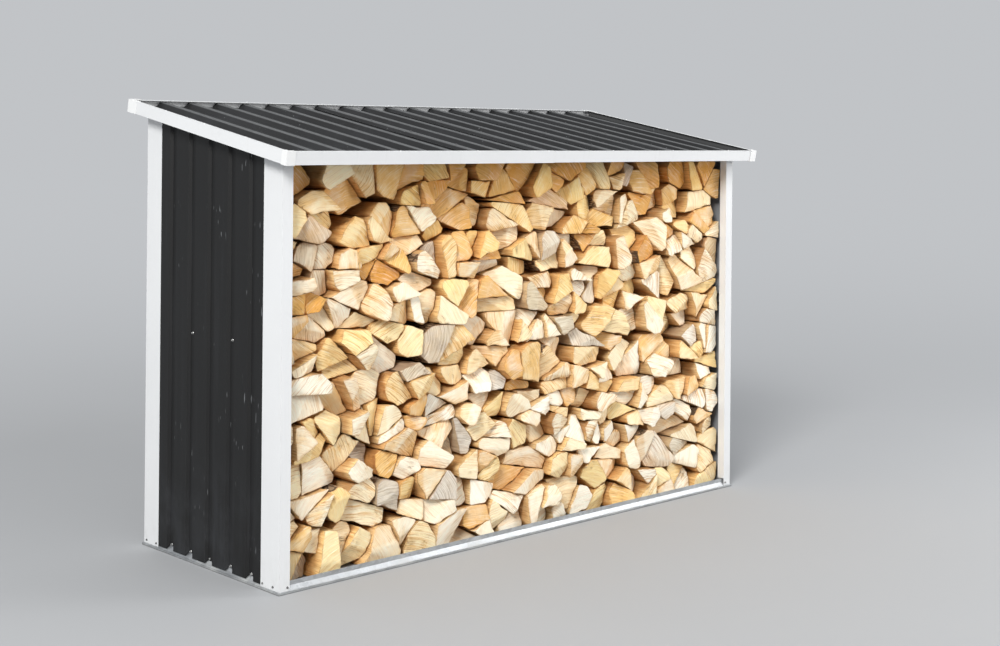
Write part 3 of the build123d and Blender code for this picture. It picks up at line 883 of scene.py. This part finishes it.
def rough_bark():
    bark = Finish("log_bark")
    grain = bark.node("ShaderNodeUVMap", {"uv_map": "saw"})
    plates = bark.cells(bark.scaled(grain, (70.0, 24.0, 1.0)), 1.0, feature="DISTANCE_TO_EDGE")
    fine = bark.noise(bark.scaled(grain, (200.0, 70.0, 1.0)), 1.0, detail=5.0, rough=0.7)
    cloud = bark.noise(grain, 20.0, detail=3.0)
    furrow = plates.over(0.16, 0.02)
    colour = bark.mix(fine, (0.22, 0.135, 0.075), (0.42, 0.30, 0.19))
    colour = bark.mix(cloud.over(0.5, 0.75) * 0.6, colour, (0.45, 0.22, 0.08))
    colour = bark.mix(furrow * 0.8, colour, (0.06, 0.035, 0.02))
    return bark.surface(
        Base_Color=colour,
        Roughness=0.82 + fine * 0.1,
        Normal=bark.bump(fine - furrow * 1.5, 0.0030),
        Specular_IOR_Level=0.25,
    )


log_side = torn_side()
log_bark = rough_bark()
print("Finishes:", log_side.name, "and", log_bark.name)

# %% Stack the courses
draw = random.Random(41)
for name, logs in sorted(courses.items()):
    piece = build_course("logs_" + name.removeprefix("firewood_"), logs, draw)
    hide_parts(name)
    print(piece.name, len(logs), "logs,", len(piece.data.polygons), "faces")

# %% [markdown]
# ## Screws
#
# Self-drilling screws with a washer and a six-sided head hold the sheets to the rails, the posts
# to the base and the trims to the roof. They repeat, so Geometry Nodes make them: a mesh with one
# vertex for each screw says where they go, an attribute says which way each one faces, and the
# tree puts a head there, turned at random about its own axis, because no fitter lines them up.

# %% A tree that puts a screw on each point
SCREW_INPUTS = {
    "Washer Radius": "Float",
    "Head Radius": "Float",
    "Head Height": "Float",
    "Seed": "Int",
    "Finish": "Material",
}
WASHER_THICKNESS = 0.0008
CROWN_HEIGHT = 0.0005
LARGEST_SPIN = 6.28


def screw_tree():
    tree = bpy.data.node_groups.new("screws_on_points", "GeometryNodeTree")
    face = tree.interface
    face.new_socket("Geometry", in_out="INPUT", socket_type="NodeSocketGeometry")
    for label, kind in SCREW_INPUTS.items():
        face.new_socket(label, in_out="INPUT", socket_type="NodeSocket" + kind)
    face.new_socket("Geometry", in_out="OUTPUT", socket_type="NodeSocketGeometry")
    graph = Graph(tree)
    entry = tree.nodes.new("NodeGroupInput")
    given = {socket.name: Wire(graph, socket) for socket in entry.outputs if socket.name}
    washer, head, height = given["Washer Radius"], given["Head Radius"], given["Head Height"]
    filled = {"fill_type": "NGON"}

    def cone(sides, top, bottom, depth):
        inputs = {"Vertices": sides, "Radius Top": top, "Radius Bottom": bottom, "Depth": depth}
        return graph.node("GeometryNodeMeshCone", filled, inputs)

    def lifted(shape, rise):
        lift = graph.node("ShaderNodeCombineXYZ", {}, {"Z": rise})
        return graph.node("GeometryNodeTransform", {}, {"Geometry": shape, "Translation": lift})

    inputs = {"Vertices": 6, "Radius": head, "Depth": height}
    hexagon = graph.node("GeometryNodeMeshCylinder", filled, inputs)
    parts = [
        cone(18, washer * 0.86, washer, WASHER_THICKNESS),
        lifted(hexagon, height * 0.5 + WASHER_THICKNESS),
        lifted(cone(12, head * 0.45, head * 0.84, CROWN_HEIGHT), height + WASHER_THICKNESS),
    ]
    screw = graph.node("GeometryNodeJoinGeometry", {}, {0: parts})

    vector = {"data_type": "FLOAT_VECTOR"}
    facing = graph.node("GeometryNodeInputNamedAttribute", vector, {"Name": "facing"})
    turned = graph.node("FunctionNodeAlignRotationToVector", {"axis": "Z"}, {"Vector": facing})
    limits = {2: 0.0, 3: LARGEST_SPIN, "Seed": given["Seed"]}
    spin = graph.node("FunctionNodeRandomValue", {"data_type": "FLOAT"}, limits, out=1)
    spin = graph.node("ShaderNodeCombineXYZ", {}, {"Z": spin})
    spin = graph.node("FunctionNodeEulerToRotation", {}, {0: spin})
    local = {"rotation_space": "LOCAL"}
    turned = graph.node("FunctionNodeRotateRotation", local, {0: turned, 1: spin})

    inputs = {"Points": given["Geometry"], "Instance": screw, "Rotation": turned}
    solid = graph.node("GeometryNodeInstanceOnPoints", {}, inputs)
    solid = graph.node("GeometryNodeRealizeInstances", {}, {0: solid})
    inputs = {"Geometry": solid, "Material": given["Finish"]}
    solid = graph.node("GeometryNodeSetMaterial", {}, inputs)
    leave = tree.nodes.new("NodeGroupOutput")
    tree.links.new(solid.socket, leave.inputs[0])
    return tree


screws_on_points = screw_tree()
identifiers = {
    item.name: item.identifier
    for item in screws_on_points.interface.items_tree
    if item.in_out == "INPUT" and item.name in SCREW_INPUTS
}
print("Inputs:", identifiers)


# %% Put screws at a list of places
def put_screws(name, places, finish, sizes, seed):
    """Places are points on the sheet with the way out, sizes are washer, head and head height."""
    mesh = bpy.data.meshes.new(name + "_points")
    mesh.from_pydata([tuple(point) for point, _ in places], [], [])
    facing = mesh.attributes.new("facing", "FLOAT_VECTOR", "POINT")
    ways = np.array([tuple(way) for _, way in places], np.float32)
    facing.data.foreach_set("vector", ways.ravel())
    holder = bpy.data.objects.new(name + "_holder", mesh)
    scene.collection.objects.link(holder)
    modifier = holder.modifiers.new("screws", "NODES")
    modifier.node_group = screws_on_points
    for label, value in zip(SCREW_INPUTS, (*sizes, seed, finish)):
        modifier[identifiers[label]] = value
    graph = bpy.context.evaluated_depsgraph_get()
    made = bpy.data.meshes.new_from_object(holder.evaluated_get(graph))
    made.name = name
    bpy.data.objects.remove(holder)
    add_piece(name, made)
    print(name, len(places), "screws,", len(made.polygons), "faces")


# %% [markdown]
# ### Where the screws sit
#
# Wall screws sit in the valleys of the ribs: one row goes into the base rail and one into the brace
# at mid-height. Each post has a few just above the rail's ledge, on each of its outer faces. They
# are smaller than those in the walls, and their zinc is painted dark, a painted shade for heads
# that sit in shadow. On the roof, stitch screws hold the laps and flat ones hold the trims.

# %% Places on the walls and posts
base_low, base_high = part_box("base_rail_left")
EDGE_X, FRONT_Y, BACK_Y = abs(base_low.x), base_low.y, base_high.y
RIB_PITCH = 0.1235
VALLEY_SKIN = 0.0156
POST_SKIN = 0.0055
RAIL_ROW, BRACE_ROW, POST_ROW = 0.0315, 0.797, 0.020
SIDE_MIDDLE = (FRONT_Y + BACK_Y) / 2

wall_places, post_places = [], []
for side in (-1, 1):
    x = side * (EDGE_X - VALLEY_SKIN)
    for k in range(-2, 3):
        wall_places.append(((x, SIDE_MIDDLE + k * RIB_PITCH, RAIL_ROW), (side, 0, 0)))
    for k in (-1, 1):
        wall_places.append(((x, SIDE_MIDDLE + k * RIB_PITCH, BRACE_ROW), (side, 0, 0)))
    x = side * (EDGE_X - POST_SKIN)
    for y in (FRONT_Y + 0.041, FRONT_Y + 0.100, BACK_Y - 0.024, BACK_Y - 0.089):
        post_places.append(((x, y, POST_ROW), (side, 0, 0)))
    post_places.append(((side * (EDGE_X - 0.037), FRONT_Y + POST_SKIN, POST_ROW), (0, -1, 0)))
    for inset in (0.030, 0.092):
        x = side * (EDGE_X - inset)
        post_places.append(((x, BACK_Y - POST_SKIN, POST_ROW), (0, 1, 0)))
for k in range(-8, 9):
    for z in (RAIL_ROW, BRACE_ROW):
        if z == RAIL_ROW or k % 2:
            wall_places.append(((k * RIB_PITCH, BACK_Y - VALLEY_SKIN, z), (0, 1, 0)))

WALL_SCREW = (0.0048, 0.0034, 0.0036)
POST_SCREW = (0.0042, 0.003, 0.003)
put_screws("wall_screws", wall_places, screw_zinc, WALL_SCREW, seed=3)
put_screws("post_screws", post_places, painted_shade_zinc, POST_SCREW, seed=8)


# %% Places on the roof
def on_roof(x, along, depth):
    """A point on the roof, measured up its slope and down from the plane of its top edges."""
    return FRONT_TOP + UP_ROOF * along - OFF_ROOF * depth + Vector((x, 0, 0))


TRIM_LINE = 0.0085
TRIM_X = 1.2165
TRIM_SKIN = 0.0015
LAP_CREST = 0.0077
ROOF_RIB_PITCH = 0.1202

trim_places, lap_places = [], []
for x in (-0.748, -0.390, -0.032, 0.326, 0.684, 1.042):
    trim_places.append((on_roof(x, TRIM_LINE, TRIM_SKIN), OFF_ROOF))
for x in (-0.715, -0.354, -0.010, 0.370, 0.737, 1.080):
    trim_places.append((on_roof(x, ROOF_LENGTH - TRIM_LINE, TRIM_SKIN), OFF_ROOF))
for side in (-1, 1):
    for along in (0.25, 0.50, 0.75):
        trim_places.append((on_roof(side * TRIM_X, along, TRIM_SKIN), OFF_ROOF))
    for along in (0.018, ROOF_LENGTH - 0.020, ROOF_LENGTH - 0.045):
        trim_places.append((on_roof(side * TRIM_X, along, 0.0), OFF_ROOF))
for rib in (-3, 0, 3, 6):
    for along in (0.16, 0.42, 0.66, 0.90):
        lap_places.append((on_roof(rib * ROOF_RIB_PITCH, along, LAP_CREST), OFF_ROOF))

TRIM_SCREW = (0.004, 0.0027, 0.0011)
LAP_SCREW = (0.0046, 0.0032, 0.003)
put_screws("trim_screws", trim_places, white, TRIM_SCREW, seed=11)
# The lap screws take the roof paint, whose painted crest highlight makes their heads light grey.
put_screws("lap_screws", lap_places, roof_paint, LAP_SCREW, seed=17)

# %% [markdown]
# ### The turned-up edges of the roof
#
# At the left and right end the roof sheets are turned up under the trims, so rain can't run off
# sideways. It is why no white shows between the last rib and the trim's edge. Each is a strip of
# sheet that stands on the pan and ends just under the trim's flange. A strip is only a long box,
# so its eight corners are written down in the roof's own directions.

# %% Turn the sheet edges up
STRIP_OUTER = 1.2222
STRIP_THICKNESS = 0.0008
STRIP_TOP, STRIP_FOOT = 0.0027, 0.0250
STRIP_INSET = 0.006
BOX_SIDES = ((0, 1, 2, 3), (7, 6, 5, 4), (0, 4, 5, 1), (1, 5, 6, 2), (2, 6, 7, 3), (3, 7, 4, 0))


def turned_edges(name):
    """Two thin strips along the roof, written as the eight corners of each."""
    low, high = STRIP_INSET, ROOF_LENGTH - STRIP_INSET
    outline = ((low, STRIP_FOOT), (high, STRIP_FOOT), (high, STRIP_TOP), (low, STRIP_TOP))
    bm = bmesh.new()
    for side in (-1, 1):
        corners = []
        for x in (STRIP_OUTER - STRIP_THICKNESS, STRIP_OUTER):
            for along, depth in outline:
                corners.append(bm.verts.new(on_roof(side * x, along, depth)))
        for sides in BOX_SIDES:
            bm.faces.new([corners[i] for i in sides])
    bmesh.ops.recalc_face_normals(bm, faces=bm.faces)
    mesh = bpy.data.meshes.new(name)
    bm.to_mesh(mesh)
    bm.free()
    # The roof paint paints these strips lighter, against the shade under the trims' flanges.
    mesh.materials.append(roof_paint)
    return add_piece(name, mesh)


edges = turned_edges("roof_sheet_edges")
print(edges.name, len(edges.data.polygons), "faces")

# %% [markdown]
# ## Floor, backdrop and light
#
# The floor is a plain pale sheet that fades into the backdrop, so no horizon cuts the picture. The
# light is that of an open, bright sky: strongest overhead and weaker near the horizon, which makes
# the undersides and the top row of logs fall into soft shade. The camera and reflections don't see
# that sky but a plain backdrop. A wide lamp on the left gives the faces a direction without hard
# shadows, and a weak one on the right lifts the shade between the logs.

# %% Floor
BACKDROP = (0.535, 0.55, 0.57)
FLOOR_RADIUS = 60.0
FLOOR_LEVEL = -0.0005


def floor_finish():
    floor = Finish("studio_floor")
    away = floor.length(floor.place)
    cloud = floor.noise(floor.place, 0.9, detail=2.0)
    colour = floor.shaded((0.42, 0.428, 0.44), 0.985 + cloud * 0.03)
    inputs = {"Base Color": colour, "Roughness": 0.75, "Specular IOR Level": 0.15}
    shader = floor.node("ShaderNodeBsdfPrincipled", {}, inputs)
    glow = floor.node("ShaderNodeEmission", {}, {"Color": (*BACKDROP, 1), "Strength": 1.0})
    inputs = {0: (1.0 / away).over(0.42, 0.03), 1: shader, 2: glow}
    floor.node_output(floor.node("ShaderNodeMixShader", {}, inputs))
    return floor.material


bm = bmesh.new()
bmesh.ops.create_circle(bm, cap_ends=True, segments=96, radius=FLOOR_RADIUS)
mesh = bpy.data.meshes.new("floor")
bm.to_mesh(mesh)
bm.free()
mesh.transform(Matrix.Translation((0, 0, FLOOR_LEVEL)))
mesh.materials.append(floor_finish())
floor = bpy.data.objects.new("floor", mesh)
scene.collection.objects.link(floor)
print("Floor radius", FLOOR_RADIUS, "m")

# %% Sky
AT_HORIZON, CLIMB = 0.22, 0.50

world = bpy.data.worlds.new("bright_sky")
scene.world = world
world.use_nodes = True
sky = Graph(world.node_tree)
sky.tree.nodes.clear()
direction = sky.node("ShaderNodeTexCoord", out="Generated")
climb = sky.node("ShaderNodeSeparateXYZ", {}, {0: direction}, out="Z")
light = climb.over(-0.05, 0.85) * CLIMB + AT_HORIZON
shining = sky.node("ShaderNodeBackground", {}, {"Color": (0.96, 0.98, 1.0, 1), "Strength": light})
plain = sky.node("ShaderNodeBackground", {}, {"Color": (*BACKDROP, 1), "Strength": 1.0})
kinds = ("Camera", "Glossy", "Transmission")
rays = [sky.node("ShaderNodeLightPath", out=f"Is {kind} Ray") for kind in kinds]
seen = rays[0].larger(rays[1].larger(rays[2]))
both = sky.node("ShaderNodeMixShader", {}, {0: seen, 1: shining, 2: plain})
output = sky.tree.nodes.new("ShaderNodeOutputWorld")
sky.tree.links.new(both.socket, output.inputs["Surface"])
print("Sky:", AT_HORIZON, "at the horizon,", AT_HORIZON + CLIMB, "overhead")


# %% Lamps
LIT_MIDDLE = Vector((0, 0, 0.7))


def soft_lamp(name, spot, size, power, colour):
    data = bpy.data.lights.new(name, "AREA")
    data.shape, data.size, data.energy, data.color = "DISK", size, power, colour
    lamp = bpy.data.objects.new(name, data)
    lamp.location = spot
    lamp.rotation_euler = (LIT_MIDDLE - Vector(spot)).to_track_quat("-Z", "Y").to_euler()
    scene.collection.objects.link(lamp)
    print(name, power, "W")


soft_lamp("key_left", (-10.05, -6.05, 7.9), 4.4, 1600, (1.0, 0.99, 0.97))
soft_lamp("fill_right", (4.2, -4.2, 2.8), 3.0, 175, (1.0, 0.99, 0.98))

# %% [markdown]
# ## Camera
#
# The camera stands in front of the store and to its left, about a metre and a half above the
# ground. It is held level, and the lens is shifted to bring the store into the frame, as is done
# for pictures of buildings, which keeps the posts upright.

# %% Camera
SENSOR = 36.0
PIXELS = 1000
FOCAL = 1537.24
HORIZON = 131.2
MIDDLE_ROW = 323.0
CAMERA_PLACE = (-4.1062, -4.5013, 1.5041)
yaw, pitch, roll = -0.7610, 0.0017, 0.0089

data = bpy.data.cameras.new("camera")
data.sensor_width = SENSOR
data.lens = SENSOR * FOCAL / PIXELS
data.shift_y = (HORIZON - MIDDLE_ROW) / PIXELS
data.clip_end = 200.0
level = math.cos(pitch)
forward = Vector((-math.sin(yaw) * level, math.cos(yaw) * level, math.sin(pitch)))
flat = Vector((math.cos(yaw), math.sin(yaw), 0))
upright = flat.cross(forward)
right = flat * math.cos(roll) + upright * math.sin(roll)
up = upright * math.cos(roll) - flat * math.sin(roll)
camera = bpy.data.objects.new("camera", data)
turn = Matrix((right, up, -forward)).transposed()
camera.matrix_world = Matrix.Translation(CAMERA_PLACE) @ turn.to_4x4()
scene.collection.objects.link(camera)
scene.camera = camera
scene.view_settings.view_transform = "Standard"
print("Lens", round(data.lens, 1), "mm, shift", round(data.shift_y, 3))
